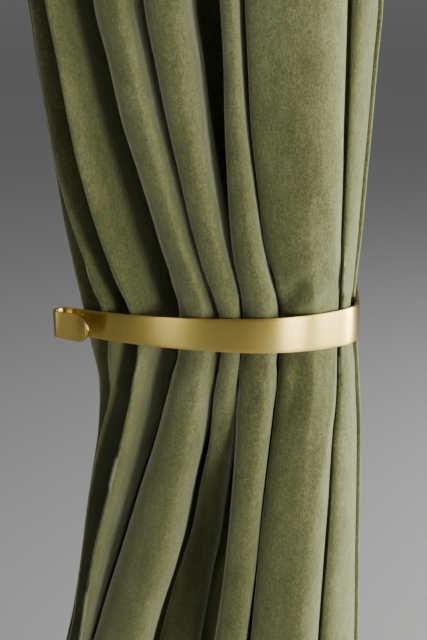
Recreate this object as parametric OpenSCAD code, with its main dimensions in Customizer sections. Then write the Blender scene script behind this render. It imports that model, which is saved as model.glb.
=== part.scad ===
// Floor-length velvet curtain on a brass rod, drawn into a flat brass holdback.
// Millimetres. The wall is the plane Y = 0 and the curtain hangs on its -Y side.
// X = 0 is half way along the rod, Z = 0 is the height of the rod's axis.

/* [Rod] */
// Length of the rod tube
rod_len = 1100; // [1080:10:1400]
// Outside diameter of the rod tube
rod_d = 25; // [22:1:28]
// Wall thickness of the rod tube
rod_wall = 1.5; // [1:0.25:2.5]
// Distance from the wall to the rod's axis
rod_offset = 90; // [88:1:95]
// Diameter of the ball of each finial
finial_d = 44; // [36:1:50]

/* [Brackets] */
// Distance between the two brackets
bracket_spacing = 940; // [920:5:960]
// Width of a wall plate
plate_w = 36; // [30:1:44]
// Height of a wall plate
plate_h = 78; // [72:1:90]
// Thickness of a wall plate
plate_t = 4; // [3:0.5:6]
// Distance between the two screw holes of a plate
plate_screw_spacing = 50; // [46:1:56]
// Diameter of a plate's screw holes
plate_screw_d = 5; // [4:0.5:6]
// Diameter of a bracket's arm
arm_d = 13; // [10:1:15]
// Wall thickness of the cradle that the rod lies in
cradle_wall = 4; // [3:0.5:6]
// Width of a cradle along the rod
cradle_w = 16; // [12:1:20]

/* [Rings] */
// Inside diameter of a curtain ring
ring_hole_d = 38; // [34:1:42]
// Thickness of a ring's wire
ring_wire_d = 5; // [4:0.5:6]
// Distance from mid-rod to the ring that is held outside the left bracket
anchor_ring_x = 505; // [500:1:520]
// Distance from mid-rod to the first sliding ring
first_ring_x = 430; // [425:1:440]
// Distance from mid-rod to the leading ring, all on the left half
lead_ring_x = 60; // [50:1:90]

/* [Curtain] */
// Depth of the curtain's top edge below the rod's axis
curtain_top = 50; // [48:1:54]
// Length of the curtain from its top edge to its hem
curtain_drop = 2240; // [1900:10:2600]
// Height of the stiffened heading
heading_h = 90; // [70:5:110]
// Depth of the folds, front to back, below the heading
fold_depth = 82; // [70:2:90]
// Gap between the lining and the holdback's middle, measured from the wall
waist_back = 36; // [30:1:45]

/* [Holdback] */
// Distance from mid-rod to the middle of the holdback
holdback_x = 150; // [140:1:160]
// Depth of the holdback's centre line below the rod's axis
holdback_drop = 1400; // [1200:10:1500]
// Distance from the wall to the front of the bow
bow_front = 125; // [120:1:130]
// Thickness of the flat bar
bar_t = 2; // [1.5:0.25:3]
// Height of the bar at its free end
bar_tip_h = 21; // [18:1:24]
// Height of the bar at the wall
bar_root_h = 29; // [26:1:34]
// Radius of the curl at the free end
curl_r = 7; // [6:0.5:8]

/* [Hidden] */
$fn = 64;
EPS = 0.01;
RUNNING_GAP = 0.05;
CLEAR = 0.3;

RING_COUNT = 8;
RINGS = [1:RING_COUNT];
ring_pitch = (first_ring_x - lead_ring_x) / (RING_COUNT - 2);
function ring_x(i) = i == 1 ? -anchor_ring_x : -first_ring_x + (i - 2) * ring_pitch;

rod_r = rod_d / 2;
rod_inner_r = rod_r - rod_wall;
bracket_x = bracket_spacing / 2;
cradle_r = rod_r + 0.2;
cradle_outer_r = cradle_r + cradle_wall;

// Rings hang from the top of the rod.
ring_mean_r = (ring_hole_d + ring_wire_d) / 2;
ring_drop = ring_hole_d / 2 - rod_r - CLEAR;
ring_bottom = ring_drop + ring_mean_r + ring_wire_d / 2;
eye_wire_d = 2;
eye_mean_r = 4;
eye_drop = ring_bottom + eye_mean_r + eye_wire_d / 2 - 0.6;
hook_wire_d = 1.8;
hook_shank = 58;
hook_front_leg = 6;

// The finial screws into a bush pressed into the end of the tube.
insert_len = 18;
stud_d = 8;
finial_neck_len = 14;

// Thumb screw under each cradle.
thumb_shank_d = 4;
thumb_tip_gap = 0.3;
thumb_head_d = 12;
thumb_head_h = 5;

// Plan of the holdback, with u across from the middle of the gathered cloth and
// v along Y: a wide bow on the left, a tighter bow on the right, a corner, a
// straight run to the wall and a foot.
apex_u = 7;
bow_left_r = 300;
bow_left_end = 26;
bow_right_r = 115;
bow_right_end = 45;
corner_r = 36.5;
foot_bend_r = 6;
foot_len = 44;
bow_left_c = [apex_u, bow_left_r - bow_front];
bow_right_c = [apex_u, bow_right_r - bow_front];
corner_c = bow_right_c + (bow_right_r - corner_r) * [sin(bow_right_end), -cos(bow_right_end)];
run_u = corner_c[0] + corner_r;
curl_root = bow_left_c + bow_left_r * [-sin(bow_left_end), -cos(bow_left_end)];
curl_c = curl_root + curl_r * [-sin(bow_left_end), -cos(bow_left_end)];
curl_tab_len = 30;

// The round plate under the holdback's foot.
backplate_r = 25;
backplate_t = 4;
foot_v = -backplate_t - bar_t / 2;
foot_bend_c = [run_u - foot_bend_r, foot_v - foot_bend_r];
backplate_u = foot_bend_c[0] - foot_len / 2;
foot_screw_spacing = 22;
foot_screw_d = 4;

// Outlines of the hanging cloth. The left edge leans out above and below the
// holdback, and the right edge hangs almost straight.
cloth_gap = 1.5;
lining_t = 5;
lining_hem_gap = 20;
heading_back = rod_offset - 2;
heading_front = rod_offset + 44;
fold_back = rod_offset - fold_depth / 2;
fold_front = rod_offset + fold_depth / 2;
hem_z = -(curtain_top + curtain_drop);
heading_bottom_z = -(curtain_top + heading_h);
waist_z = -holdback_drop;
waist_half_h = bar_root_h / 2 + 3;
shoulder_rise = 235;
skirt_drop = 250;

heading_span = [-anchor_ring_x - 15, -lead_ring_x + 12];
shoulder_span = [-holdback_x - 147, -holdback_x + 109];
waist_span = [-holdback_x - 112, -holdback_x + run_u - bar_t / 2 - 1];
skirt_span = [-holdback_x - 134, -holdback_x + 110];
hem_span = [-holdback_x - 200, -holdback_x + 125];

buckram_t = 1.5;
weight_r = 14;
weight_t = 3;
weight_pocket = 34;
hem_h = 60;

// ---------- shared shapes ----------

// A straight rod along X, centred on x.
module bar_x(x, len, r) {
    translate([x, -rod_offset, 0]) rotate([0, 90, 0]) cylinder(h = len, r = r, center = true);
}

// A torus whose axis points along X.
module ring_shape(mean_r, wire_r) {
    rotate([0, 90, 0]) rotate_extrude() translate([mean_r, 0]) circle(r = wire_r);
}

// Points along an arc, each with a unit normal. The normal points away from the
// arc's centre, or towards it where side is -1.
function arc_path(centre, r, a0, a1, steps, side = 1) =
    [for (k = [0:steps])
        let (a = a0 + (a1 - a0) * k / steps, out = [cos(a), sin(a)])
        [centre + r * out, side * out]];

// Outline of a strip of thickness t that follows a path of points and normals.
module ribbon(path, t) {
    last = len(path) - 1;
    polygon(concat(
        [for (p = path) p[0] + p[1] * t / 2],
        [for (k = [last:-1:0]) path[k][0] - path[k][1] * t / 2]));
}

// A closed solid whose skin runs through a stack of outlines, lowest first, all
// with the same number of points in anticlockwise order.
module cloth_skin(outlines) {
    count = len(outlines[0]);
    layers = len(outlines);
    sides = [for (k = [0:layers - 2], i = [0:count - 1])
        let (a = k * count + i, b = k * count + (i + 1) % count)
        each [[a, b + count, b], [a, a + count, b + count]]];
    bottom = [for (i = [0:count - 1]) i];
    top = [for (i = [count - 1:-1:0]) (layers - 1) * count + i];
    polyhedron(points = [for (o = outlines) each o], faces = concat(sides, [bottom, top]));
}

// A rectangle at height z, spanning x0..x1 and standing back..front off the wall.
function cloth_rect(z, span, back, front) =
    [[span[0], -front, z], [span[1], -front, z], [span[1], -back, z], [span[0], -back, z]];

// ---------- rod ----------

module rod_tube() {
    color([0.72, 0.60, 0.36]) difference() {
        bar_x(0, rod_len, rod_r);
        bar_x(0, rod_len + 2, rod_inner_r);
    }
}

module rod_insert(side) {
    color([0.55, 0.46, 0.28]) difference() {
        bar_x(side * (rod_len - insert_len) / 2, insert_len, rod_inner_r);
        bar_x(side * (rod_len - insert_len) / 2, insert_len + 2, stud_d / 2 + RUNNING_GAP);
    }
}

// A turned knob: collar, neck and ball on one axis, with a stud behind it.
module finial(side) {
    ball_r = finial_d / 2;
    color([0.74, 0.61, 0.36])
    translate([side * rod_len / 2, -rod_offset, 0]) rotate([0, side * 90, 0]) {
        translate([0, 0, -insert_len + 4]) cylinder(h = insert_len - 4 + EPS, r = stud_d / 2);
        rotate_extrude() union() {
            square([rod_r + 3, 5]);
            square([rod_r - 4, finial_neck_len]);
            translate([0, finial_neck_len - 3]) square([rod_r, 4]);
            translate([0, finial_neck_len + ball_r - 5]) intersection() {
                circle(r = ball_r);
                translate([0, -ball_r]) square(2 * ball_r);
            }
        }
    }
}

// ---------- brackets ----------

module wall_plate(side) {
    color([0.70, 0.58, 0.34]) difference() {
        translate([side * bracket_x - plate_w / 2, -plate_t, -plate_h / 2]) cube([plate_w, plate_t, plate_h]);
        for (end = [-1, 1])
            translate([side * bracket_x, 1, end * plate_screw_spacing / 2])
                rotate([90, 0, 0]) cylinder(h = plate_t + 2, r = plate_screw_d / 2);
    }
}

module bracket_arm(side) {
    arm_end = rod_offset - cradle_outer_r - 2;
    color([0.72, 0.60, 0.36]) translate([side * bracket_x, 0, 0]) rotate([90, 0, 0]) {
        translate([0, 0, plate_t]) cylinder(h = 4, r = arm_d / 2 + 3);
        translate([0, 0, plate_t]) cylinder(h = arm_end - plate_t, r = arm_d / 2);
    }
}

module rod_cradle(side) {
    boss_w = 2 * cradle_outer_r;
    color([0.72, 0.60, 0.36]) difference() {
        union() {
            bar_x(side * bracket_x, cradle_w, cradle_outer_r);
            translate([side * bracket_x - cradle_w / 2, -rod_offset, -arm_d / 2])
                cube([cradle_w, cradle_outer_r + 2, arm_d]);
            translate([side * bracket_x, -rod_offset, -cradle_outer_r - 2])
                cylinder(h = 6, r = 5);
        }
        bar_x(side * bracket_x, cradle_w + 2, cradle_r);
        translate([side * bracket_x - boss_w / 2, -rod_offset - boss_w / 2, rod_r / 2])
            cube([boss_w, boss_w, boss_w]);
        translate([side * bracket_x, -rod_offset, -2 * cradle_outer_r])
            cylinder(h = 2 * cradle_outer_r, r = thumb_shank_d / 2 + RUNNING_GAP);
    }
}

module thumb_screw(side) {
    tip_z = -rod_r - thumb_tip_gap;
    head_z = -cradle_outer_r - 2 - CLEAR - thumb_head_h;
    color([0.76, 0.64, 0.40]) translate([side * bracket_x, -rod_offset, 0]) {
        translate([0, 0, head_z]) cylinder(h = tip_z - head_z, r = thumb_shank_d / 2);
        difference() {
            translate([0, 0, head_z]) cylinder(h = thumb_head_h, r = thumb_head_d / 2);
            for (a = [0:30:330])
                rotate([0, 0, a]) translate([thumb_head_d / 2 + 0.6, 0, head_z - 1])
                    cylinder(h = thumb_head_h + 2, r = 1.3, $fn = 16);
        }
    }
}

// ---------- rings and hooks ----------

module ring(i) {
    color([0.74, 0.62, 0.38])
        translate([ring_x(i), -rod_offset, -ring_drop]) ring_shape(ring_mean_r, ring_wire_d / 2);
}

// A small eye under the ring, turned across it so that the hook's wire passes along Y.
module ring_eye(i) {
    color([0.70, 0.58, 0.34]) difference() {
        translate([ring_x(i), -rod_offset, -eye_drop]) rotate([0, 0, 90])
            ring_shape(eye_mean_r, eye_wire_d / 2);
        translate([ring_x(i), -rod_offset, -ring_drop])
            ring_shape(ring_mean_r, ring_wire_d / 2 + EPS);
    }
}

// A flat steel pin hook: a crook through the eye and a shank down the back of the buckram.
module pin_hook(i) {
    shank_y = heading_back - 1 - hook_wire_d / 2;
    crook_r = (rod_offset - shank_y) / 2 + 1.6;
    crook_top = -eye_drop - eye_mean_r + eye_wire_d / 2 + hook_wire_d / 2 + CLEAR;
    crook_c = [-shank_y - crook_r, crook_top - crook_r];
    crook = arc_path(crook_c, crook_r, 180, 0, 12);
    path = concat(
        [[crook_c - [crook_r, hook_front_leg], [-1, 0]]],
        crook,
        [[crook_c + [crook_r, -hook_shank], [1, 0]]]);
    color([0.72, 0.72, 0.70])
        translate([ring_x(i) - hook_wire_d / 2, 0, 0]) rotate([90, 0, 90])
            linear_extrude(hook_wire_d) ribbon(path, hook_wire_d);
}

// ---------- cloth ----------

// Outline of the gathered cloth inside the holdback, seen from above: along the
// bar's inside from left to right, round the corner, then back along the lining.
waist_front = let (inset = bar_t / 2 + cloth_gap) concat(
    [for (a = [24:-4:0]) bow_left_c + (bow_left_r - inset) * [-sin(a), -cos(a)]],
    [for (a = [5:8:45]) bow_right_c + (bow_right_r - inset) * [sin(a), -cos(a)]],
    [for (a = [57:11:90]) corner_c + (corner_r - inset) * [sin(a), -cos(a)]]);
waist_u0 = waist_front[0][0];
waist_u1 = waist_front[len(waist_front) - 1][0];

function waist_ring(z) = concat(
    [for (p = waist_front) [p[0] - holdback_x, p[1], z]],
    [[waist_u1 - holdback_x, -waist_back - lining_t, z], [waist_u0 - holdback_x, -waist_back - lining_t, z]]);

// A rectangle with as many points as the waist's outline.
function full_ring(z, span, back, front) = concat(
    [for (p = waist_front)
        [span[0] + (span[1] - span[0]) * (p[0] - waist_u0) / (waist_u1 - waist_u0), -front, z]],
    [[span[1], -back, z], [span[0], -back, z]]);

velvet_back = fold_back + lining_t;
lining_front = velvet_back - CLEAR;
waist_lining_front = waist_back + lining_t - CLEAR;
step_z = 2;

module velvet_upper() {
    heading_y = heading_back + buckram_t + 0.6;
    color([0.42, 0.43, 0.29]) cloth_skin([
        waist_ring(waist_z),
        waist_ring(waist_z + waist_half_h),
        full_ring(waist_z + shoulder_rise, shoulder_span, velvet_back, fold_front),
        full_ring(heading_bottom_z - step_z, heading_span, velvet_back, fold_front),
        full_ring(heading_bottom_z, heading_span, heading_y, heading_front),
        full_ring(-curtain_top, heading_span, heading_y, heading_front)]);
}

// A slab of cloth under height z, spanning x0..x1 and standing back..front off the wall.
module cloth_slab(z, span, back, front) {
    translate([span[0], -front, z - step_z]) cube([span[1] - span[0], front - back, step_z]);
}

module waist_outline() {
    polygon([for (p = waist_ring(0)) [p[0], p[1]]]);
}

module velvet_lower() {
    skirt_z = waist_z - skirt_drop;
    under_bar_z = waist_z - waist_half_h;
    color([0.40, 0.41, 0.28]) {
        translate([0, 0, under_bar_z - step_z]) linear_extrude(waist_z - CLEAR - under_bar_z + step_z)
            offset(delta = -CLEAR) waist_outline();
        hull() {
            translate([0, 0, under_bar_z - step_z]) linear_extrude(step_z) waist_outline();
            cloth_slab(skirt_z, skirt_span, velvet_back, fold_front);
        }
        hull() {
            cloth_slab(skirt_z, skirt_span, velvet_back, fold_front);
            cloth_slab(hem_z + hem_h + step_z, hem_span, velvet_back, fold_front);
        }
    }
}

// The hem turned up at the bottom, with room for a weight at each end.
module velvet_hem() {
    color([0.38, 0.39, 0.27]) difference() {
        translate([hem_span[0], -fold_front, hem_z])
            cube([hem_span[1] - hem_span[0], fold_front - velvet_back, hem_h]);
        for (x = weight_xs) weight_space(x);
    }
}

weight_xs = [hem_span[0] + 30, hem_span[1] - 30];

// Room for a weight inside the hem, open at the bottom.
module weight_space(x) {
    translate([x - weight_pocket / 2, -rod_offset - 3, hem_z - 1])
        cube([weight_pocket, 6, weight_pocket + 4]);
}

module lining_upper() {
    color([0.80, 0.77, 0.70]) cloth_skin([
        cloth_rect(waist_z, waist_span, waist_back, waist_lining_front),
        cloth_rect(waist_z + waist_half_h, waist_span, waist_back, waist_lining_front),
        cloth_rect(waist_z + shoulder_rise, shoulder_span, fold_back, lining_front),
        cloth_rect(heading_bottom_z - step_z, heading_span, fold_back, lining_front)]);
}

module lining_lower() {
    color([0.78, 0.75, 0.68]) cloth_skin([
        cloth_rect(hem_z + lining_hem_gap, hem_span, fold_back, lining_front),
        cloth_rect(waist_z - skirt_drop, skirt_span, fold_back, lining_front),
        cloth_rect(waist_z - waist_half_h, waist_span, waist_back, waist_lining_front),
        cloth_rect(waist_z - CLEAR, waist_span, waist_back, waist_lining_front)]);
}

module heading_buckram() {
    color([0.90, 0.89, 0.84])
        translate([heading_span[0] + 4, -heading_back - buckram_t, heading_bottom_z + 4])
            cube([heading_span[1] - heading_span[0] - 8, buckram_t, heading_h - 8]);
}

module hem_weight(x) {
    color([0.45, 0.45, 0.47])
        translate([x, -rod_offset + weight_t / 2, hem_z + weight_pocket / 2 + 2])
            rotate([90, 0, 0]) cylinder(h = weight_t, r = weight_r);
}

// ---------- holdback ----------

// Height of the bar at distance u from the middle of the cloth.
function bar_h(u) = bar_tip_h + (bar_root_h - bar_tip_h) * (u - curl_c[0]) / (run_u - curl_c[0]);

// Side view of the bar, from one u to another, as a tapering block.
module bar_taper(u0, u1) {
    rotate([90, 0, 0]) linear_extrude(4 * bow_front, center = true)
        polygon([[u0, -bar_h(u0) / 2], [u1, -bar_h(u1) / 2], [u1, bar_h(u1) / 2], [u0, bar_h(u0) / 2]]);
}

// Centre line of the bar: tab, curl, bow, corner, run to the wall, bend and foot.
root_angle = 270 - bow_left_end;
root_dir = [cos(root_angle), sin(root_angle)];
tab_dir = [-root_dir[1], root_dir[0]];
tab_start = curl_c + curl_r * root_dir;
bar_path = concat(
    [[tab_start + curl_tab_len * tab_dir, -root_dir]],
    arc_path(curl_c, curl_r, root_angle, root_angle - 180, 18, -1),
    arc_path(bow_left_c, bow_left_r, root_angle + 1, 270, 12),
    arc_path(bow_right_c, bow_right_r, 273, 270 + bow_right_end, 14),
    arc_path(corner_c, corner_r, 275 + bow_right_end, 360, 8),
    arc_path(foot_bend_c, foot_bend_r, 0, 90, 6),
    [[[backplate_u - foot_len / 2, foot_v], [0, 1]]]);

// What is cut off the tab to round its end.
module tab_corners() {
    end_r = bar_h(tab_start[0] + curl_tab_len) / 2;
    translate(tab_start) rotate([0, 0, -bow_left_end]) rotate([90, 0, 0])
        translate([curl_tab_len - end_r, 0, -2 * bar_t]) linear_extrude(4 * bar_t) difference() {
            translate([0, -bar_root_h]) square([2 * bar_root_h, 2 * bar_root_h]);
            circle(r = end_r);
        }
}

module holdback_band() {
    color([0.78, 0.64, 0.36]) translate([-holdback_x, 0, waist_z]) difference() {
        intersection() {
            bar_taper(curl_c[0] - 2 * curl_r, run_u + bar_t);
            translate([0, 0, -bar_root_h]) linear_extrude(2 * bar_root_h) ribbon(bar_path, bar_t);
        }
        tab_corners();
        for (end = [-1, 1])
            translate([backplate_u + end * foot_screw_spacing / 2, -backplate_t + 1, 0])
                rotate([90, 0, 0]) cylinder(h = bar_t + 2, r = foot_screw_d / 2 + RUNNING_GAP);
    }
}

module holdback_backplate() {
    color([0.76, 0.62, 0.36]) translate([-holdback_x + backplate_u, 0, waist_z]) rotate([90, 0, 0])
        difference() {
            cylinder(h = backplate_t, r = backplate_r);
            for (end = [-1, 1])
                translate([end * foot_screw_spacing / 2, 0, -1])
                    cylinder(h = backplate_t + 2, r = foot_screw_d / 2 + RUNNING_GAP);
        }
}

module holdback_screws() {
    head_r = 3.6;
    color([0.60, 0.52, 0.34])
    for (end = [-1, 1])
        translate([-holdback_x + backplate_u + end * foot_screw_spacing / 2, 0, waist_z])
            rotate([90, 0, 0]) difference() {
                union() {
                    translate([0, 0, 0.4]) cylinder(h = backplate_t + bar_t, r = foot_screw_d / 2);
                    translate([0, 0, backplate_t + bar_t]) cylinder(h = 2, r = head_r);
                }
                translate([-head_r, -0.4, backplate_t + bar_t + 1.2]) cube([2 * head_r, 0.8, 2]);
                translate([-0.4, -head_r, backplate_t + bar_t + 1.2]) cube([0.8, 2 * head_r, 2]);
            }
}

// ---------- drawing ----------

rod_tube();
rod_insert(-1);  // rod_insert_left
rod_insert(1);  // rod_insert_right
finial(-1);  // finial_left
finial(1);  // finial_right
wall_plate(-1);  // wall_plate_left
wall_plate(1);  // wall_plate_right
bracket_arm(-1);  // bracket_arm_left
bracket_arm(1);  // bracket_arm_right
rod_cradle(-1);  // rod_cradle_left
rod_cradle(1);  // rod_cradle_right
thumb_screw(-1);  // thumb_screw_left
thumb_screw(1);  // thumb_screw_right
for (i = RINGS) ring(i);
for (i = RINGS) ring_eye(i);
for (i = RINGS) pin_hook(i);
velvet_upper();
velvet_lower();
velvet_hem();
lining_upper();
lining_lower();
heading_buckram();
hem_weight(weight_xs[0]);  // hem_weight_left
hem_weight(weight_xs[1]);  // hem_weight_right
holdback_band();
holdback_backplate();
holdback_screws();
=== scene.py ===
"""Velvet curtain on a brass rod, gathered in a flat brass holdback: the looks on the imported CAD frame.

Sizes in the cloth and holdback sections are millimetres, measured from the middle of the gathered
cloth at the holdback: u runs across to the right, d stands off the wall and h is the height above the
middle of the bar. place() turns them into the frame's metres.
"""
import math

import bmesh
import bpy
import numpy as np
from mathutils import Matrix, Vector


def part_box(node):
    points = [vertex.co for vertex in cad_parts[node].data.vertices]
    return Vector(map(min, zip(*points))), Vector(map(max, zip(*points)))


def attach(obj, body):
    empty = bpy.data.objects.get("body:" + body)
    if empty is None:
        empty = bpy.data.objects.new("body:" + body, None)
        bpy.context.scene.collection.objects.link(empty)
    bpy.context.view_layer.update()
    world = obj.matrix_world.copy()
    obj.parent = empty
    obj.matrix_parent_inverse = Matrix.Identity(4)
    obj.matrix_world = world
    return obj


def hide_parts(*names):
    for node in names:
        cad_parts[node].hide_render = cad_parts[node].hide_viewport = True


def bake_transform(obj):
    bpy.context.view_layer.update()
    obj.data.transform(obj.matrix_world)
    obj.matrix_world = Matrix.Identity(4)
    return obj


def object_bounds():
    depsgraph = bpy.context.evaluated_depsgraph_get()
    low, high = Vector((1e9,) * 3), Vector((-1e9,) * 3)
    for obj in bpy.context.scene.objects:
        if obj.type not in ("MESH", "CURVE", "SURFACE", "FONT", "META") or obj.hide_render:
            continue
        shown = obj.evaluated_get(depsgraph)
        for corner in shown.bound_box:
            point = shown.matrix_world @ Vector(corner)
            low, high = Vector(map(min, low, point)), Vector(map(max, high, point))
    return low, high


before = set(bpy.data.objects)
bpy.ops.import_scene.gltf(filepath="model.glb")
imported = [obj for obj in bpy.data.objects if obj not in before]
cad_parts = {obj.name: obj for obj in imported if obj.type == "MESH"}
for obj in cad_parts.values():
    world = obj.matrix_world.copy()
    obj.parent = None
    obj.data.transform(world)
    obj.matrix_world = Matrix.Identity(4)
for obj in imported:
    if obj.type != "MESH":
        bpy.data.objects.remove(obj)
CAD_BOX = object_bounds()
MM = 0.001

# ---------- places taken from the frame ----------

BAR_LOW, BAR_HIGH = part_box("holdback_band")
RINGS = range(1, 9)
RING_X = [(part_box(f"ring_{i}")[0][0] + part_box(f"ring_{i}")[1][0]) / 2 for i in RINGS]
WAIST_X = BAR_HIGH[0] - 0.100  # the bar's outer face is 100 mm right of the cloth's middle
WAIST_Z = (BAR_LOW[2] + BAR_HIGH[2]) / 2
TOP = (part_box("velvet_upper")[1][2] - WAIST_Z) / MM
HEM = (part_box("velvet_hem")[0][2] - WAIST_Z) / MM
PLEAT_FOOT = TOP - 92


def place(u, d, h):
    """Millimetres about the waist to a point of the frame."""
    return (WAIST_X + u * MM, -d * MM, WAIST_Z + h * MM)


# ---------- small helpers ----------


def smoothstep(t):
    t = np.clip(t, 0.0, 1.0)
    return t * t * (3 - 2 * t)


def curve_through(xs, ys, x):
    """The value at x of a smooth curve through the given points, without overshoot (monotone cubic)."""
    xs, ys = np.asarray(xs, float), np.asarray(ys, float)
    slope = np.diff(ys) / np.diff(xs)
    tangent = np.zeros_like(ys)
    tangent[0], tangent[-1] = slope[0], slope[-1]
    same = slope[:-1] * slope[1:] > 0
    mean = 2 * slope[:-1] * slope[1:] / np.where(same, slope[:-1] + slope[1:], 1)
    tangent[1:-1] = np.where(same, mean, 0)
    i = np.clip(np.searchsorted(xs, x) - 1, 0, len(xs) - 2)
    w = xs[i + 1] - xs[i]
    t = (x - xs[i]) / w
    a = (1 + 2 * t) * (1 - t) ** 2 * ys[i] + t * (1 - t) ** 2 * w * tangent[i]
    return a + t * t * (3 - 2 * t) * ys[i + 1] + t * t * (t - 1) * w * tangent[i + 1]


def value_noise(x, y, seed):
    """Smooth noise from -1 to 1 on a unit grid, for numpy arrays x and y."""
    grid = np.random.RandomState(seed).uniform(-1, 1, (64, 64))
    ix, iy = np.floor(x).astype(int), np.floor(y).astype(int)
    fx, fy = smoothstep(x - ix), smoothstep(y - iy)

    def at(dx, dy):
        return grid[(ix + dx) % 64, (iy + dy) % 64]

    low = at(0, 0) * (1 - fx) + at(1, 0) * fx
    high = at(0, 1) * (1 - fx) + at(1, 1) * fx
    return low * (1 - fy) + high * fy


def mesh_object(name, verts, faces, smooth=True):
    mesh = bpy.data.meshes.new(name)
    mesh.from_pydata([tuple(v) for v in verts], [], faces)
    mesh.validate()
    mesh.update()
    if smooth:
        mesh.polygons.foreach_set("use_smooth", [True] * len(mesh.polygons))
    piece = bpy.data.objects.new(name, mesh)
    bpy.context.scene.collection.objects.link(piece)
    return piece


def grid_faces(rows, columns):
    """The faces of a sheet whose points are listed row by row."""
    return [
        (r * columns + c, r * columns + c + 1, (r + 1) * columns + c + 1, (r + 1) * columns + c)
        for r in range(rows - 1)
        for c in range(columns - 1)
    ]


def apply_modifiers(piece):
    bpy.context.view_layer.update()
    graph = bpy.context.evaluated_depsgraph_get()
    mesh = bpy.data.meshes.new_from_object(piece.evaluated_get(graph), depsgraph=graph)
    piece.modifiers.clear()
    piece.data = mesh


def thicken(piece, thickness, offset, back_material=None):
    """Make a thin solid of a sheet. Its far side can have a material of its own."""
    thick = piece.modifiers.new("thickness", "SOLIDIFY")
    thick.thickness = thickness * MM
    thick.offset = offset
    if back_material is not None:
        piece.data.materials.append(back_material)
        thick.material_offset = 1
    apply_modifiers(piece)


# ---------- the holdback's line ----------

APEX_U = 7
BOW_FRONT = 125
BOW_LEFT_R, BOW_LEFT_END = 300, 26
BOW_RIGHT_R, BOW_RIGHT_END = 115, 45
CORNER_R = 36.5
CURL_R = 7
TAB_LEN = 30
BAR_T = 2
BAR_TIP_H, BAR_ROOT_H = 21, 29
BAR_EDGE = 0.55  # how far the bar's edges are rounded
BAR_CROWN = 0.35  # how much its face swells in the middle
TIP_STEPS = 14
FOOT_R, FOOT_LEN = 6, 44


def bow_depth(u):
    """Distance of the bar's centre line from the wall, where it crosses the cloth's front."""
    bend = math.radians(BOW_RIGHT_END)
    left = BOW_FRONT - BOW_LEFT_R + np.sqrt(np.maximum(BOW_LEFT_R**2 - (u - APEX_U) ** 2, 0))
    right = BOW_FRONT - BOW_RIGHT_R + np.sqrt(np.maximum(BOW_RIGHT_R**2 - (u - APEX_U) ** 2, 0))
    corner_u = APEX_U + (BOW_RIGHT_R - CORNER_R) * math.sin(bend)
    corner_d = BOW_FRONT - BOW_RIGHT_R + (BOW_RIGHT_R - CORNER_R) * math.cos(bend)
    corner = corner_d + np.sqrt(np.maximum(CORNER_R**2 - (u - corner_u) ** 2, 0))
    bend_u = APEX_U + BOW_RIGHT_R * math.sin(bend)
    return np.where(u < APEX_U, left, np.where(u < bend_u, right, corner))


# ---------- the cloth's folds ----------

# Heights of the stations that the folds are drawn at, from the hem up.
STATIONS = [-890, -330, -260, -190, -137, -95, -52, -8, 6, 70, 115, 155, 197, 235, 1350]
# Where each valley between two folds lies at those heights, from the left edge to the right.
VALLEYS = [
    [-200, -150, -136, -125, -117, -110, -107, -113, -117, -132, -138, -143.5, -149, -153, -366],
    [-176, -146, -132, -121, -113, -104, -94, -94, -97, -121, -133.5, -139.5, -145, -149, -318],
    [-140, -133, -121, -108.5, -95, -84.5, -75, -69, -73, -97, -108, -116, -123, -130, -249],
    [-112, -126, -110, -89, -73, -60, -49, -39, -39, -54, -67, -80, -89, -98, -187],
    [-84, -70, -56, -36, -26, -17, -11, -5, -6, -25, -36, -46, -55, -62, -126],
    [-46, -24, -14, -4, 2, 6, 8, 11, 11, 1, -5, -9, -12, -16, -64],
    [-2, 14, 19, 25, 29, 33, 37, 39, 39, 26, 20, 15, 12, 10, -2],
    [65, 74, 76, 79, 81, 82, 84, 84, 84, 84, 84, 84, 84, 84, 59],
    [115, 107, 106, 104, 103, 102, 99, 95, 93, 97, 99, 101, 103, 105, 95],
    [125, 111, 110, 108, 107, 106, 103, 99, 97, 101, 103, 105, 107, 109, 102],
]
# How wide each inner valley stands open at its mouth.
GAPS = [
    [6, 1, 1, 1, 1, 1, 1.5, 2, 2, 1.5, 1, 1, 1, 1, 8],
    [6, 4, 3, 2, 2, 2, 2, 2, 2, 2, 2, 2, 2, 2, 8],
    [8, 4, 3, 3, 3, 3, 3, 3, 3, 3, 3, 3, 3, 3, 8],
    [8, 6, 5, 4, 4, 4, 3, 3, 3, 4, 5, 6, 7, 8, 12],
    [9, 12, 12, 9, 6, 3, 2, 2, 2, 6, 11, 15, 19, 22, 14],
    [8, 4, 3, 2, 2, 2, 2, 2, 2, 2, 3, 3, 4, 4, 8],
    [6, 3, 2, 2, 2, 2, 2, 2, 2, 2, 2, 3, 3, 3, 5],
    [4, 1.5, 1, 1, 1, 1, 1, 1, 1, 1, 1, 1, 1, 1, 5],
]
# How deep each of them goes: 1 is back to the lining.
DEPTHS = [0.3, 0.9, 1, 1, 1, 1, 0.45, 0.6]
# The least that each valley lies behind the crests beside it. The outermost folds only turn the edge
# back.
LEAST_DEPTH = [4, 0.5, 4, 4, 4, 4, 4, 4, 0.5, 4]
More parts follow.
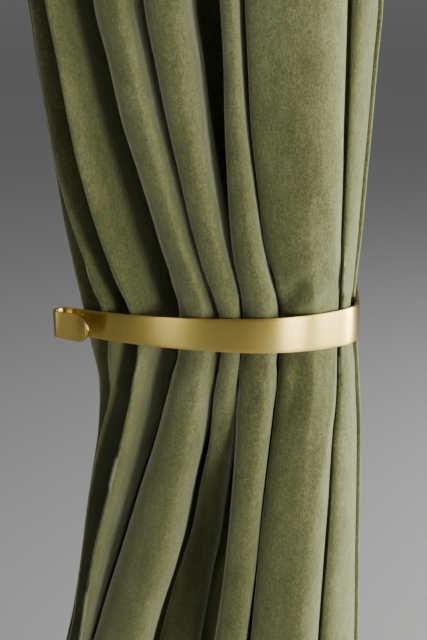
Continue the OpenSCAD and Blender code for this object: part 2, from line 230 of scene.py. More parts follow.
# How far forward each fold's crest comes, 1 being level with its neighbours.
CRESTS = [
    [0.9, 0.5, 0.35, 0.3, 0.3, 0.4, 0.6, 0.85, 0.8, 0.5, 0.35, 0.3, 0.3, 0.3, 0.8],
    [0.9, 0.8, 0.72, 0.7, 0.7, 0.75, 0.85, 1, 1, 0.78, 0.62, 0.55, 0.52, 0.5, 0.9],
    [1, 1, 0.97, 0.97, 1, 1, 1, 1, 1, 1, 1, 1, 1, 1, 1],
    [1, 1, 1, 1, 1, 1, 1, 1, 1, 1, 1, 1, 1, 1, 1],
    [0.9, 0.4, 0.25, 0.35, 0.55, 0.75, 0.93, 1, 1, 1, 1, 1, 1, 1, 1],
    [1, 1, 0.97, 0.98, 1, 1, 1, 1, 1, 1, 0.97, 0.95, 0.94, 0.93, 1],
    [1, 1, 1, 1, 1, 1, 1, 1, 1, 1, 1, 1, 1, 1, 1],
    [0.9, 0.75, 0.72, 0.72, 0.72, 0.75, 0.88, 1, 1, 0.8, 0.74, 0.72, 0.7, 0.7, 0.9],
    [0.7, 0.3, 0.16, 0.14, 0.14, 0.14, 0.2, 0.3, 0.3, 0.2, 0.14, 0.14, 0.14, 0.14, 0.7],
]
# Where across each fold its crest sits, from -1 at its left edge to 1 at its right.
LEANS = [-0.2, -0.6, -0.8, 0.35, 0.2, 0.2, 0.15, -0.6, 0.2]
# How each fold falls away to the left and to the right of its crest: how far, and how straight
# (0 is a round shoulder and 1 a slope).
FALLS = [
    ((1.0, 0), (1.2, 0.5)),
    ((0.8, 0), (2.4, 0.85)),
    ((0.7, 0), (2.6, 0.9)),
    ((1.3, 0.25), (1.5, 0.05)),
    ((0.8, 0.15), (1.3, 0)),
    ((0.9, 0.1), (1.2, 0)),
    ((0.4, 0.3), (1.0, 0)),
    ((0.35, 0), (1.6, 0.45)),
    ((1.0, 0), (1.4, 0)),
]
# How square each fold's left and right shoulders are: 2 is round.
SQUARE = [(2, 2), (2, 2), (2.4, 2.4), (2.7, 2.1), (2.8, 2.1), (2.6, 2.1), (3, 2.1), (2.6, 2.1), (2, 2)]
FOLDS = len(CRESTS)
CAP_POINTS = [6, 5, 8, 8, 8, 7, 12, 6, 5]
WALL_POINTS = 4
SIDE_POINTS = 20  # points across each outermost fold, which is too narrow for creases
CAP_DEPTH, CAP_WIDE = 1.25, 80  # a cap's depth for its half width, and the half width that halves it
CAP_SHARE = 0.78  # the most of a fold's depth that its cap takes
SLOPE_POWER = 1.3  # how a straight shoulder slopes: 1 is a plane
LEAST_FOLD_W = 1.2
MOUTH_ROUND = 6  # the most that a valley's mouth rounds its floor

FRONT = 129  # crest of the hanging folds, from the wall
BACK = 54  # bottom of their valleys
WAIST_BACK = 43
CLEAR_OF_BAR = 1.6  # from the velvet's face to the bar's inside
PRESSED_H = 14  # the bar presses the cloth this far above and below its middle
PULL_ABOVE, PULL_BELOW = 150, 190  # and draws it together this far beyond
BOW_SPAN = (-125, 98.5)  # the stretch of the bar that crosses the cloth's front
MIDDLE_U, HALF_CLOTH = -5, 125
SIDE_FALL = 16  # how far behind the middle the outermost crests hang
BULGE = 3  # how far the cloth swells out just above and below the bar
BUCKRAM_D = 88.6
HEM_H = 60
PLEAT_BASE, PLEAT_TIP, FINGER_W = 91.5, 110, 6.5
BETWEEN_PLEATS = 7  # how far the cloth stands forward halfway between two pleats
LAST_FLAT_D = 92.0  # the flat end of the heading, right of the last pleat
OPEN_FROM, OPEN_OVER = 1080, 170  # where the folds start to open into the pleats, and over what height
LINING_EDGE = 20  # how far in from the velvet's side edges the lining stops
LINING_RUN = 25  # width over which the lining rises from its flat edges into the folds
LINING_BEHIND = 9  # the lining stays at least this far behind where the bar holds the velvet
LINING_GAP = 2.2  # how far behind the velvet's valleys the lining hangs
LINING_INSET = 2.6  # how much narrower each side of its folds is
LINING_SHARE = 0.5  # how far its folds follow the velvet's
PINCH = 0.03  # what lies outside the lining's edges is drawn in to this share


def waist_pull(h):
    """1 where the bar presses the cloth together, falling to 0 above and below it."""
    return 1 - smoothstep((np.abs(h) - PRESSED_H) / np.where(h > 0, PULL_ABOVE, PULL_BELOW))


def front_limit(u, h):
    """How far from the wall a crest may stand at u: the bar's inside at the waist, looser elsewhere."""
    edge = np.abs(u - MIDDLE_U) / HALF_CLOTH
    free = FRONT - SIDE_FALL * np.clip(edge, 0, 1) ** 3
    tight = bow_depth(np.clip(u, *BOW_SPAN)) - BAR_T / 2 - CLEAR_OF_BAR
    pull = waist_pull(h)
    near = smoothstep((np.abs(h) - PRESSED_H) / 22) * BULGE
    return np.minimum(free, tight * pull + free * (1 - pull) + near)


def cap_point(reach, depth, square, fall, straight, turn):
    """How far aside and back a fold of this depth has gone, a turn from 0 to 1 away from its crest."""
    most = min(reach * CAP_DEPTH / (1 + reach / CAP_WIDE) * fall, CAP_SHARE * depth)
    angle = math.pi / 2 * turn
    aside, down = math.sin(angle) ** (2 / square), 1 - max(math.cos(angle), 0) ** (2 / square)
    return reach * aside, most * ((1 - straight) * down + straight * aside**SLOPE_POWER)


def fold_profile(span, gaps, floors, crest, fold):
    """One fold seen from above, from the middle of its left valley to the middle of its right one:
    valley bottom, wall, a cap of two rounded shoulders, wall, valley bottom."""
    left, right, crest_u = span
    caps, (left_fall, right_fall), (left_square, right_square) = CAP_POINTS[fold], FALLS[fold], SQUARE[fold]
    left_cap = (crest_u - left, crest - floors[0], left_square, *left_fall)
    right_cap = (right - crest_u, crest - floors[1], right_square, *right_fall)
    mouth_left, mouth_right = gaps[0] / 2, gaps[1] / 2

    points = [(left - mouth_left, floors[0])]
    low, high = floors[0] + min(mouth_left, MOUTH_ROUND), crest - cap_point(*left_cap, 1)[1]
    for k in range(WALL_POINTS):
        points.append((left, low + (high - low) * k / WALL_POINTS))
    for k in range(caps, 0, -1):
        aside, down = cap_point(*left_cap, k / caps)
        points.append((crest_u - aside, crest - down))
    for k in range(caps + 1):
        aside, down = cap_point(*right_cap, k / caps)
        points.append((crest_u + aside, crest - down))
    low, high = floors[1] + min(mouth_right, MOUTH_ROUND), points[-1][1]
    for k in range(WALL_POINTS):
        points.append((right, high + (low - high) * (k + 1) / WALL_POINTS))
    return points


def pleat_profile(left, right, ring_u, count):
    """The same stretch of cloth in the heading: flat, three pinched fingers at the ring, flat."""
    base, tip, finger = PLEAT_BASE, PLEAT_TIP, FINGER_W
    path = [(left, base + BETWEEN_PLEATS), (ring_u - 1.5 * finger - 2, base)]
    for k in range(3):
        start = ring_u + (k - 1.5) * finger
        path += [(start + 0.6, base + 1), (start + 0.8, tip - 4), (start + finger / 2, tip)]
        path += [(start + finger - 0.8, tip - 4), (start + finger - 0.6, base + 1)]
    path += [(ring_u + 1.5 * finger + 2, base), (right, base + BETWEEN_PLEATS)]
    path = np.array(path)
    step = np.concatenate([[0], np.cumsum(np.hypot(*np.diff(path, axis=0).T))])
    at = np.linspace(0, step[-1], count)
    return list(zip(np.interp(at, step, path[:, 0]), np.interp(at, step, path[:, 1])))


def lining_rise(u, valley):
    """The lining lies flat along its side edges and follows the folds between them."""
    from_left, from_right = u - valley[0] - LINING_EDGE, valley[-1] - LINING_EDGE - u
    return float(smoothstep(from_left / LINING_RUN) * smoothstep(from_right / LINING_RUN))


def fold_spans(h, valley, gap, back, lining):
    """Each fold's left wall, right wall and crest at height h, and how far from the wall its crest is."""
    inset = LINING_INSET if lining else 0.0
    spans, crests = [], []
    for k in range(FOLDS):
        left = valley[k] + gap[k] / 2 + inset
        right = valley[k + 1] - gap[k + 1] / 2 - inset
        if right - left < LEAST_FOLD_W:
            middle = (left + right) / 2
            left, right = middle - LEAST_FOLD_W / 2, middle + LEAST_FOLD_W / 2
        crest_u = (left + right) / 2 + LEANS[k] * (right - left) / 2
        share = float(curve_through(STATIONS, CRESTS[k], h)) * (LINING_SHARE if lining else 1.0)
        spans.append((left, right, crest_u))
        crests.append(back + (float(front_limit(np.array(crest_u), h)) - back) * share)
    return spans, crests


def valley_floors(h, crests, back, open_up):
    """How far from the wall each valley's floor is. The two folds beside a valley share it."""
    front = float(front_limit(np.array(0.0), h))
    deep = [back] + [front - (front - back) * (1 - (1 - d) * (1 - open_up)) for d in DEPTHS] + [back]
    beside = [min(crests[max(j - 1, 0)], crests[min(j, FOLDS - 1)]) for j in range(FOLDS + 1)]
    return [min(floor, low - least) for floor, low, least in zip(deep, beside, LEAST_DEPTH)]


def heading_profile(k, valley, count, lining):
    """Where the cloth of fold k goes in the heading."""
    across = np.linspace(valley[k], valley[k + 1], count)
    if lining:
        return [(u, BUCKRAM_D - 1) for u in across]
    if k < len(RING_X):
        return pleat_profile(valley[k], valley[k + 1], (RING_X[k] - WAIST_X) / MM, count)
    return [(u, LAST_FLAT_D) for u in across]


def cloth_row(h, lining=False):
    """The cloth's line across at height h, as (u, d) points from its left edge to its right."""
    pull = float(waist_pull(np.array(h)))
    back = BACK + (WAIST_BACK - BACK) * pull - (LINING_GAP if lining else 0)
    open_up = float(smoothstep((h - OPEN_FROM) / OPEN_OVER))
    valley = [float(curve_through(STATIONS, v, h)) for v in VALLEYS]
    gap = [0.0] + [float(curve_through(STATIONS, g, h)) for g in GAPS] + [0.0]
    spans, crests = fold_spans(h, valley, gap, back, lining)
    floors = [back] * (FOLDS + 1) if lining else valley_floors(h, crests, back, open_up)
    widen = 2 * LINING_INSET if lining else 0.0
    row = []
    for k in range(FOLDS):
        fold = fold_profile(spans[k], (gap[k] + widen, gap[k + 1] + widen), floors[k : k + 2], crests[k], k)
        limit = front_limit(np.array([p[0] for p in fold]), h) - (LINING_BEHIND if lining else 0)
        fold = [(p[0], min(p[1], float(q))) for p, q in zip(fold, limit)]
        if lining:
            fold = [(u, back + (d - back) * lining_rise(u, valley)) for u, d in fold]
        if open_up > 0:
            top = heading_profile(k, valley, len(fold), lining)
            fold = [tuple(a + (b - a) * open_up for a, b in zip(p, q)) for p, q in zip(fold, top)]
        row += fold
    row.append((valley[-1], row[-1][1]))
    if lining:
        low, high = valley[0] + LINING_EDGE, valley[-1] - LINING_EDGE
        kept = [min(max(u, low), high) for u, _ in row]
        row = [(at + PINCH * (u - at), d) for at, (u, d) in zip(kept, row)]
    return row


def row_heights():
    """Close rows where the cloth is pressed and creased and at the hem's seam, wider ones elsewhere."""
    low, high = -275, 250
    hem_seam = HEM + HEM_H + np.array([-6, -3, 0, 3, 6])
    below = np.sort(np.append(np.linspace(HEM, low, 40)[:-1], hem_seam))
    return np.concatenate([below, np.arange(low, high, 5.0), np.linspace(high, TOP, 72)])


def creases(u, h):
    """Soft unevenness of the hanging cloth, and short slanting creases next to the bar."""
    from_bar = np.abs(h)
    slow = value_noise(u / 38 + 3, h / 170 + 7, 5) * 0.8 + value_noise(u / 17, h / 90, 11) * 0.35
    slant = value_noise((u + 0.55 * h) / 11, (h - 0.3 * u) / 34, 21) * 1.5
    beside_bar = np.exp(-(((from_bar - 30) / 34) ** 2)) * smoothstep((from_bar - 13) / 14)
    return slow * np.clip(from_bar / 60, 0.15, 1) + slant * beside_bar


# Soft pulls in the cloth beside the bar: both ends, width and height of each.
PULLS = [
    ((41, 10), (76, 34), 4.2, 2.6),
    ((37, 14), (62, 48), 5.0, -3.2),
    ((52, 44), (72, 66), 6.5, 1.4),
    ((88, 12), (96, 40), 4.0, -1.8),
    ((-64, 12), (-42, 40), 4.0, 1.6),
    ((-2, -60), (6, -18), 3.5, 1.2),
    ((48, -58), (60, -18), 5.0, -1.3),
]


def pulls(u, h):
    """How far the pulls lift each point of the cloth's front."""
    lift = np.zeros_like(u)
    for (u0, h0), (u1, h1), width, height in PULLS:
        length2 = (u1 - u0) ** 2 + (h1 - h0) ** 2
        t = ((u - u0) * (u1 - u0) + (h - h0) * (h1 - h0)) / length2
        off = (u - u0) * (h1 - h0) - (h - h0) * (u1 - u0)
        fade = smoothstep((t + 0.25) / 0.4) * (1 - smoothstep((t - 0.7) / 0.5))
        lift += height * np.exp(-(off**2) / length2 / width**2) * fade
    return lift


def cloth_sheet(name, heights, lining=False):
    """The whole cloth: its rows, pushed in and out along their normals by the creases and the hem."""
    rows = np.array([cloth_row(h, lining) for h in heights])
    count = rows.shape[1]
    u, d = rows[..., 0], rows[..., 1]
    h = np.repeat(heights[:, None], count, axis=1)
    du = np.gradient(u, axis=1)
    dd = np.gradient(d, axis=1)
    size = np.hypot(du, dd) + 1e-6
    column = np.arange(count)
    inner = smoothstep((np.minimum(column, column[::-1]) - SIDE_POINTS) / 8)
    push = creases(column[None, :] * 5.0 + 0 * h, h) * (0.6 if lining else 1.0) * inner[None, :]
    in_heading = smoothstep((h - 1100) / 120)
    if not lining:
        push = push + 0.9 * (1 - smoothstep((h - HEM - HEM_H + 3) / 5))
    u = u + dd / size * push * (1 - in_heading)
    d = d + du / size * push * (1 - in_heading)
    if not lining:
        d = d + pulls(u, h) * smoothstep((d - 96) / 12)
        d = np.where(np.abs(h) < 15, np.minimum(d, front_limit(u, h)), d)
    verts = np.stack([WAIST_X + u * MM, -d * MM, WAIST_Z + h * MM], axis=-1).reshape(-1, 3)
    return mesh_object(name, verts.tolist(), grid_faces(len(heights), count))


# ---------- materials ----------


def new_material(name):
    material = bpy.data.materials.new(name)
    material.use_nodes = True
    tree = material.node_tree
    return material, tree, tree.nodes["Principled BSDF"]


def node(tree, kind, **values):
    made = tree.nodes.new(kind)
    for key, value in values.items():
        if key in made.inputs:
            made.inputs[key].default_value = value
        else:
            setattr(made, key, value)
    return made


def ramp(tree, source, stops):
    made = tree.nodes.new("ShaderNodeValToRGB")
    elements = made.color_ramp.elements
    while len(elements) < len(stops):
        elements.new(0.5)
    for element, (at, colour) in zip(elements, stops):
        element.position = at
        element.color = (*colour, 1)
    tree.links.new(source, made.inputs["Fac"])
    return made.outputs["Color"]


def stretched_noise(tree, scale, stretch, detail=3.0, rough=0.55):
    """Noise in the object's own space, stretched along X, Y and Z by 1 / stretch."""
    where = tree.nodes.new("ShaderNodeTexCoord")
    mapping = tree.nodes.new("ShaderNodeMapping")
    mapping.inputs["Scale"].default_value = stretch
    tree.links.new(where.outputs["Object"], mapping.inputs["Vector"])
    made = node(tree, "ShaderNodeTexNoise", Scale=scale, Detail=detail, Roughness=rough)
    tree.links.new(mapping.outputs["Vector"], made.inputs["Vector"])
    return made.outputs["Fac"]


def mix_colour(tree, amount, a, b, blend="MIX"):
    made = tree.nodes.new("ShaderNodeMix")
    made.data_type = "RGBA"
    made.blend_type = blend
    for socket, value in ((made.inputs[0], amount), (made.inputs[6], a), (made.inputs[7], b)):
        if isinstance(value, (int, float)):
            socket.default_value = value
        elif isinstance(value, tuple):
            socket.default_value = (*value, 1)
        else:
            tree.links.new(value, socket)
    return made.outputs[2]


def bump(tree, shader, height, strength, distance, under=None):
    made = node(tree, "ShaderNodeBump", Strength=strength, Distance=distance)
    tree.links.new(height, made.inputs["Height"])
    if under is not None:
        tree.links.new(under, made.inputs["Normal"])
    if shader is not None:
        tree.links.new(made.outputs["Normal"], shader.inputs["Normal"])
    return made.outputs["Normal"]


def velvet_material():
    """Short cotton pile: patches where it has been brushed, a fine grain, and a bright grazing edge."""
    material, tree, shader = new_material("velvet")
    patches = stretched_noise(tree, 11.0, (1.0, 1.0, 0.40), 5.0, 0.62)
    crush = stretched_noise(tree, 55.0, (1.0, 1.0, 0.55), 3.0, 0.6)
    grain = stretched_noise(tree, 430.0, (1.0, 1.0, 0.6), 2.0, 0.7)
    fleck = stretched_noise(tree, 1250.0, (1.0, 1.0, 0.55), 2.0, 0.7)
    olive = [(0.36, (0.073, 0.080, 0.030)), (0.50, (0.094, 0.102, 0.042)), (0.64, (0.124, 0.134, 0.060))]
    specks = [(0.28, (0.55, 0.55, 0.50)), (0.50, (0.97, 0.97, 0.97)), (0.74, (1.48, 1.48, 1.45))]
    base = ramp(tree, patches, olive)
    crushed = ramp(tree, crush, [(0.32, (0.86, 0.86, 0.84)), (0.68, (1.12, 1.12, 1.12))])
    grained = ramp(tree, grain, [(0.30, (0.80, 0.80, 0.77)), (0.72, (1.18, 1.18, 1.18))])
    flecked = ramp(tree, fleck, specks)
    colour = mix_colour(tree, 1.0, base, crushed, "MULTIPLY")
    colour = mix_colour(tree, 1.0, colour, grained, "MULTIPLY")
    colour = mix_colour(tree, 1.0, colour, flecked, "MULTIPLY")
    tree.links.new(colour, shader.inputs["Base Color"])
    shader.inputs["Roughness"].default_value = 0.95
    shader.inputs["Specular IOR Level"].default_value = 0.08
    shader.inputs["Sheen Weight"].default_value = 1.0
    shader.inputs["Sheen Roughness"].default_value = 0.42
    shader.inputs["Sheen Tint"].default_value = (0.95, 0.97, 0.66, 1)
    pile = bump(tree, None, crush, 0.35, 0.004)
    bump(tree, shader, fleck, 0.45, 0.0008, pile)
    return material


def velvet_back_material():
    """The flat woven back of the velvet."""
    material, tree, shader = new_material("velvet_back")
    warp = stretched_noise(tree, 1000.0, (1.0, 1.0, 0.15), 1.0, 0.5)
    weft = stretched_noise(tree, 1000.0, (0.15, 0.15, 1.0), 1.0, 0.5)
    woven = mix_colour(tree, 0.5, warp, weft)
    base = ramp(tree, woven, [(0.35, (0.085, 0.088, 0.044)), (0.65, (0.150, 0.154, 0.082))])
    tree.links.new(base, shader.inputs["Base Color"])
    shader.inputs["Roughness"].default_value = 0.9
    shader.inputs["Sheen Weight"].default_value = 0.15
    bump(tree, shader, woven, 0.4, 0.0004)
    return material


def lining_material():
    material, tree, shader = new_material("lining")
    weave = stretched_noise(tree, 900.0, (1.0, 1.0, 0.35), 2.0, 0.6)
    slub = stretched_noise(tree, 60.0, (1.0, 1.0, 0.15), 3.0, 0.6)
    base = ramp(tree, slub, [(0.3, (0.62, 0.58, 0.48)), (0.7, (0.72, 0.68, 0.58))])
    threads = ramp(tree, weave, [(0.3, (0.88, 0.88, 0.88)), (0.7, (1.05, 1.05, 1.05))])
    tree.links.new(mix_colour(tree, 1.0, base, threads, "MULTIPLY"), shader.inputs["Base Color"])
    shader.inputs["Roughness"].default_value = 0.8
    shader.inputs["Sheen Weight"].default_value = 0.25
    bump(tree, shader, weave, 0.35, 0.0004)
    return material


def brass_material(name, stretch, rough=0.30, brushed=0.0):
    """Brass with fine scratches along the part and a soft mottling from handling. The more it is
    brushed, the more its highlights spread up and down, across the scratches."""
    material, tree, shader = new_material(name)
    scratches = stretched_noise(tree, 1800.0, stretch, 2.0, 0.6)
    handled = stretched_noise(tree, 26.0, (1.0, 1.0, 1.0), 3.0, 0.55)
    base = ramp(tree, handled, [(0.25, (0.52, 0.392, 0.090)), (0.75, (0.60, 0.457, 0.120))])
    streaks = ramp(tree, scratches, [(0.25, (0.965, 0.96, 0.95)), (0.75, (1.02, 1.02, 1.02))])
    tree.links.new(mix_colour(tree, 1.0, base, streaks, "MULTIPLY"), shader.inputs["Base Color"])
    gloss = ramp(tree, scratches, [(0.2, (rough - 0.03,) * 3), (0.8, (rough + 0.04,) * 3)])
    tree.links.new(gloss, shader.inputs["Roughness"])
    shader.inputs["Metallic"].default_value = 1.0
    shader.inputs["Anisotropic"].default_value = brushed
    shader.inputs["Anisotropic Rotation"].default_value = 0.25
    grain = tree.nodes.new("ShaderNodeTangent")
    grain.direction_type = "RADIAL"
    grain.axis = "Z"
    tree.links.new(grain.outputs["Tangent"], shader.inputs["Tangent"])
    bump(tree, shader, scratches, 0.12, 0.0003)
    return material


def steel_material():
    material, tree, shader = new_material("hook_steel")
    scratches = stretched_noise(tree, 700.0, (1.0, 1.0, 0.1), 2.0, 0.6)
    base = ramp(tree, scratches, [(0.3, (0.42, 0.42, 0.415)), (0.7, (0.54, 0.54, 0.535))])
    tree.links.new(base, shader.inputs["Base Color"])
    shader.inputs["Metallic"].default_value = 1.0
    shader.inputs["Roughness"].default_value = 0.42
    return material


def buckram_material():
    material, tree, shader = new_material("buckram")
    warp = stretched_noise(tree, 1100.0, (1.0, 1.0, 0.12), 1.0, 0.5)
    weft = stretched_noise(tree, 1100.0, (0.12, 0.12, 1.0), 1.0, 0.5)
    woven = mix_colour(tree, 0.5, warp, weft)
    base = ramp(tree, woven, [(0.35, (0.60, 0.57, 0.50)), (0.65, (0.78, 0.75, 0.68))])
    tree.links.new(base, shader.inputs["Base Color"])
    shader.inputs["Roughness"].default_value = 0.9
    bump(tree, shader, woven, 0.5, 0.0005)
    return material


def thread_material(name, dark, light):
    """Twisted cotton thread."""
    material, tree, shader = new_material(name)
    twist = stretched_noise(tree, 1500.0, (1.0, 1.0, 1.0), 2.0, 0.6)
    tree.links.new(ramp(tree, twist, [(0.3, dark), (0.7, light)]), shader.inputs["Base Color"])
    shader.inputs["Roughness"].default_value = 0.7
    shader.inputs["Sheen Weight"].default_value = 0.4
    bump(tree, shader, twist, 0.4, 0.0003)
    return material


def floor_material():
    material, tree, shader = new_material("floor")
    shader.inputs["Base Color"].default_value = (0.42, 0.419, 0.418, 1)
    shader.inputs["Roughness"].default_value = 1.0
    shader.inputs["Specular IOR Level"].default_value = 0.0
    return material


VELVET = velvet_material()
VELVET_BACK = velvet_back_material()
LINING = lining_material()
BUCKRAM = buckram_material()
STEEL = steel_material()
THREAD = thread_material("thread_olive", (0.080, 0.085, 0.035), (0.150, 0.156, 0.070))
THREAD_PALE = thread_material("thread_pale", (0.55, 0.52, 0.44), (0.72, 0.69, 0.60))
BRASS = brass_material("brass", (0.04, 1.0, 1.0))
BRASS_ROUND = brass_material("brass_turned", (1.0, 0.3, 0.3), 0.26)
BRASS_BAR = brass_material("brass_bar", (0.035, 0.12, 1.0), 0.33, 0.85)


def dress(piece, material):
    piece.data.materials.clear()
    piece.data.materials.append(material)
    for polygon in piece.data.polygons:
        polygon.material_index = 0


# ---------- the velvet and its lining ----------

heights = row_heights()
velvet = cloth_sheet("velvet_curtain", heights)
dress(velvet, VELVET)
thicken(velvet, 1.5, -1, VELVET_BACK)

lining_heights = np.append(heights[(heights > HEM + 20) & (heights < PLEAT_FOOT)][::2], PLEAT_FOOT + 4)
lining = cloth_sheet("lining_sheet", lining_heights, lining=True)
dress(lining, LINING)
thicken(lining, 0.5, -1)

BAND_LOW, BAND_HIGH = TOP - 90, TOP - 4


def band_line():
    """The buckram's line across, which bows out a little between the pleats."""
    line = []
    for k, ring_x in enumerate(RING_X):
        line += [(VALLEYS[k][-1] + 3, BUCKRAM_D + 1.5), ((ring_x - WAIST_X) / MM, BUCKRAM_D)]
    line.append((VALLEYS[len(RING_X)][-1] - 3, BUCKRAM_D + 1.5))
    line = np.array(line)
    u = np.linspace(line[0, 0], line[-1, 0], 240)
    d = np.interp(u, line[:, 0], line[:, 1])
    d = np.convolve(np.pad(d, 4, "edge"), np.ones(9) / 9, "valid")
    return list(zip(u, d))


def heading_band():
    """The buckram strip sewn behind the heading."""
    line = band_line()
    rows = np.linspace(BAND_LOW, BAND_HIGH, 18)
    verts = [place(u, d, h) for h in rows for u, d in line]
    return mesh_object("heading_band", verts, grid_faces(len(rows), len(line)))


band = heading_band()
dress(band, BUCKRAM)
thicken(band, 0.4, 0)

# ---------- thread ----------


def thread(runs, radius=0.4, sides=6):
    """Short lengths of sewing thread: each run is a list of (u, d, h) points."""
    verts, faces = [], []
    for run in runs:
        points = [Vector(p) for p in run]
        for i, point in enumerate(points):
            ahead = (points[min(i + 1, len(points) - 1)] - points[max(i - 1, 0)]).normalized()
            across = ahead.orthogonal().normalized()
            other = ahead.cross(across)
            taper = 0.45 if i in (0, len(points) - 1) else 1.0
            for k in range(sides):
                a = 2 * math.pi * k / sides
                rim = point + radius * taper * (math.cos(a) * across + math.sin(a) * other)
                verts.append(place(*rim))
        start = len(verts) - sides * len(points)
        for i in range(len(points) - 1):
            low = start + i * sides
            for k in range(sides):
                after = (k + 1) % sides
                faces.append((low + k, low + after, low + sides + after, low + sides + k))
        faces.append(tuple(reversed(range(start, start + sides))))
        faces.append(tuple(range(len(verts) - sides, len(verts))))
    return verts, faces


def stitch_line(line, h, length=3.2, pitch=4.6):
    """Machine stitches along a line of (u, d) points at the height h."""
    line = np.array(line)
    far = np.concatenate([[0], np.cumsum(np.hypot(*np.diff(line, axis=0).T))])
    runs = []
    for start in np.arange(pitch, far[-1] - pitch, pitch):
        at = start + length * np.array([0, 0.25, 0.75, 1])
        u, d = np.interp(at, far, line[:, 0]), np.interp(at, far, line[:, 1])
        sunk = np.array([0.35, 0, 0, 0.35])
        runs.append([(a, b + c, h) for a, b, c in zip(u, d, sunk)])
    return runs


def pleat_tack(ring_u):
    """Four turns of thread that bind the three fingers of a pleat together at its foot."""
    half = 1.5 * FINGER_W
    front = PLEAT_TIP + 0.5
    turns = []
    for k in range(4):
        h = PLEAT_FOOT + 1.1 * k
        outline = [(-half - 0.6, PLEAT_BASE + 2), (-half - 0.2, front - 5), (-half + 2.4, front)]
        outline += [(0, front + 0.2)] + [(-u, d) for u, d in reversed(outline)]
        turns.append([(ring_u + u, d, h + 0.5 * math.sin(k + u)) for u, d in outline])
    return turns


tack_runs = [run for x in RING_X for run in pleat_tack((x - WAIST_X) / MM)]
tacks = mesh_object("pleat_tacks", *thread(tack_runs, 0.5))
dress(tacks, THREAD)

buckram_back = [(u, d - 0.45) for u, d in band_line()]
seam_runs = stitch_line(buckram_back, BAND_HIGH - 4) + stitch_line(buckram_back, BAND_LOW + 4)
band_seams = mesh_object("heading_seams", *thread(seam_runs, 0.35))
dress(band_seams, THREAD_PALE)

# ---------- the holdback ----------


def bar_line():
    """Points and front-facing normals along the bar, from the tab's tip to the corner behind."""
    line = []

    def arc(centre, radius, a0, a1, steps, side):
        for k in range(steps + 1):
            a = math.radians(a0 + (a1 - a0) * k / steps)
            out = Vector((math.cos(a), math.sin(a)))
            line.append((Vector(centre) + radius * out, side * out))

    root = math.radians(270 - BOW_LEFT_END)
    out = Vector((math.cos(root), math.sin(root)))
    bow_left = Vector((APEX_U, BOW_LEFT_R - BOW_FRONT))
    bow_right = Vector((APEX_U, BOW_RIGHT_R - BOW_FRONT))
    curl = bow_left + (BOW_LEFT_R + CURL_R) * out
    tab = Vector((-out.y, out.x))
    tip = [BAR_TIP_H / 2 * (1 - math.cos(math.radians(90 * k / TIP_STEPS))) for k in range(1, TIP_STEPS + 1)]
    for from_tip in tip + [14, 18, 22, 26]:
        line.append((curl + CURL_R * out + tab * (TAB_LEN - from_tip), -out))
    arc(curl, CURL_R, 270 - BOW_LEFT_END, 90 - BOW_LEFT_END, 28, -1)
    arc(bow_left, BOW_LEFT_R, 270.8 - BOW_LEFT_END, 270, 36, 1)
    arc(bow_right, BOW_RIGHT_R, 272, 270 + BOW_RIGHT_END, 30, 1)
    turn = math.radians(270 + BOW_RIGHT_END)
    corner = bow_right + (BOW_RIGHT_R - CORNER_R) * Vector((math.cos(turn), math.sin(turn)))
    arc(corner, CORNER_R, 273 + BOW_RIGHT_END, 360, 18, 1)
    foot = Vector((corner.x + CORNER_R - FOOT_R, -5 - FOOT_R))
    line.append((Vector((corner.x + CORNER_R, (corner.y + foot.y) / 2)), Vector((1, 0))))
    arc(foot, FOOT_R, 0, 90, 8, 1)
    for k in range(1, 5):
        line.append((Vector((foot.x - FOOT_LEN * k / 4, foot.y + FOOT_R)), Vector((0, 1))))
    return line, curl, corner.x + CORNER_R


def bar_section(half):
    """The bar cut across: a slightly swelling front, a flat back and rounded edges."""
    t = BAR_T / 2
    crown = BAR_CROWN * min(half / 10, 1)
    edge, chamfer = BAR_EDGE, 0.3 * BAR_EDGE
    levels = (-1, -0.8, -0.5, -0.2, 0.2, 0.5, 0.8, 1)
    front = [(t + crown * (1 - y * y), y * (half - edge)) for y in levels]
    top = [(t - chamfer, half - chamfer), (t - edge, half)]
    top += [(-across, up) for across, up in reversed(top)]
    bottom = [(across, -up) for across, up in reversed(top)]
    return front + top + [(-t, half - edge), (-t, -half + edge)] + bottom


def bar_piece():
    """The flat bar, swept along its line, with a rounded tab."""
    line, curl, run_u = bar_line()
    verts, faces = [], []
    travelled = 0
    for i, (point, normal) in enumerate(line):
        if i:
            travelled += (point - line[i - 1][0]).length
        high = BAR_TIP_H + (BAR_ROOT_H - BAR_TIP_H) * (point.x - curl.x) / (run_u - curl.x)
        half = max(high, BAR_TIP_H) / 2
        if travelled < half:
            half = max(math.sqrt(half**2 - (half - travelled) ** 2), 1.0)
        section = bar_section(half)
        for across, up in section:
            p = point + normal * across
            verts.append(place(p.x, -p.y, up))
    n = len(section)
    for i in range(len(line) - 1):
        for k in range(n):
            a, b = i * n + k, i * n + (k + 1) % n
            faces.append((a, b, b + n, a + n))
    faces.append(tuple(range(n)))
    faces.append(tuple(reversed(range(len(verts) - n, len(verts)))))
    bar = mesh_object("holdback_bar", verts, faces)
    mesh = bmesh.new()
    mesh.from_mesh(bar.data)
    bmesh.ops.recalc_face_normals(mesh, faces=mesh.faces)
    mesh.to_mesh(bar.data)
    mesh.free()
    return bar


bar = bar_piece()
dress(bar, BRASS_BAR)
smooth = bar.modifiers.new("edges", "EDGE_SPLIT")
smooth.split_angle = math.radians(40)
apply_modifiers(bar)

# ---------- finishes of the CAD pieces that stay ----------

TURNED = ("finial", "thumb_screw", "rod_insert", "holdback_backplate", "holdback_screws", "ring")
REPLACED = ("velvet_upper", "velvet_lower", "velvet_hem", "lining_upper", "lining_lower")
REPLACED += ("heading_buckram", "holdback_band")
for name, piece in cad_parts.items():
    if name in REPLACED:
        continue
    if name.startswith("pin_hook") or name.startswith("hem_weight"):
        dress(piece, STEEL)
    elif name.startswith(TURNED):
        dress(piece, BRASS_ROUND)
    else:
        dress(piece, BRASS)

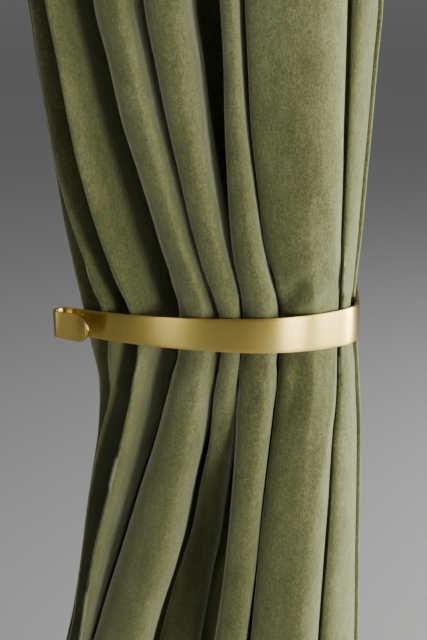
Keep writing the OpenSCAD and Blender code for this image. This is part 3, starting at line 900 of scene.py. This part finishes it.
# ---------- what moves with what ----------

for piece in (velvet, lining, band, tacks, band_seams):
    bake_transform(piece)
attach(bar, "root")
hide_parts("velvet_upper", "velvet_lower", "velvet_hem")
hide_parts("lining_upper", "lining_lower")
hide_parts("heading_buckram")
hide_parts("holdback_band")

# ---------- floor, light and camera ----------

bpy.ops.mesh.primitive_plane_add(size=400, location=(0, 0, CAD_BOX[0][2] - 0.03))
floor = bpy.context.object
floor.name = "floor"
dress(floor, floor_material())


def room_world():
    """A studio room that is dimmer at eye level, so that the far floor and the room meet without a line."""
    world = bpy.data.worlds.new("room")
    world.use_nodes = True
    tree = world.node_tree
    where = tree.nodes.new("ShaderNodeTexCoord")
    split = tree.nodes.new("ShaderNodeSeparateXYZ")
    tree.links.new(where.outputs["Generated"], split.inputs["Vector"])
    shade = ramp(tree, split.outputs["Z"], [(0.0, (0.105, 0.105, 0.106)), (1.0, (0.322, 0.324, 0.328))])
    tree.links.new(shade, tree.nodes["Background"].inputs["Color"])
    tree.nodes["Background"].inputs["Strength"].default_value = 1.0
    return world


bpy.context.scene.world = room_world()

LIT_AT = Vector(place(0, 90, 0))
LIGHT_DISTANCE = 3.2
DAYLIGHT, SIDE_DAYLIGHT, ROOM_LIGHT = (1.0, 0.985, 0.95), (1.0, 0.99, 0.97), (0.97, 0.98, 1.0)


def soft_ball(name, azimuth, radius, power, colour):
    """A large soft globe level with the bar. Azimuth 0 is straight in front of it, and 90 to its right."""
    data = bpy.data.lights.new(name, "POINT")
    data.shadow_soft_size = radius
    data.energy = power
    data.color = colour
    lamp = bpy.data.objects.new(name, data)
    turn = math.radians(azimuth)
    lamp.location = LIT_AT + LIGHT_DISTANCE * Vector((math.sin(turn), -math.cos(turn), 0))
    lamp.visible_camera = False
    bpy.context.scene.collection.objects.link(lamp)


soft_ball("window", 43, 0.55, 350, DAYLIGHT)
soft_ball("window_wide", 73, 0.80, 360, DAYLIGHT)
soft_ball("window_side", 101, 0.70, 880, SIDE_DAYLIGHT)
soft_ball("room_fill", -27, 0.26, 36, ROOM_LIGHT)
soft_ball("room_side", -75, 0.35, 20, ROOM_LIGHT)

FRAME_HEIGHT = 640
FOCAL_PIXELS = 1000
AZIMUTH, ELEVATION = math.radians(6), math.radians(15)
CAMERA_AT = (65.8, 832.6, 202.4)

camera_data = bpy.data.cameras.new("camera")
camera_data.sensor_width = 36
camera_data.lens = FOCAL_PIXELS / FRAME_HEIGHT * camera_data.sensor_width
camera_data.clip_start = 0.05
camera = bpy.data.objects.new("camera", camera_data)
camera.location = place(*CAMERA_AT)
level = math.cos(ELEVATION)
towards_camera = Vector((math.sin(AZIMUTH) * level, -math.cos(AZIMUTH) * level, math.sin(ELEVATION)))
camera.rotation_mode = "QUATERNION"
camera.rotation_quaternion = (-towards_camera).to_track_quat("-Z", "Y")
bpy.context.scene.collection.objects.link(camera)
bpy.context.scene.camera = camera
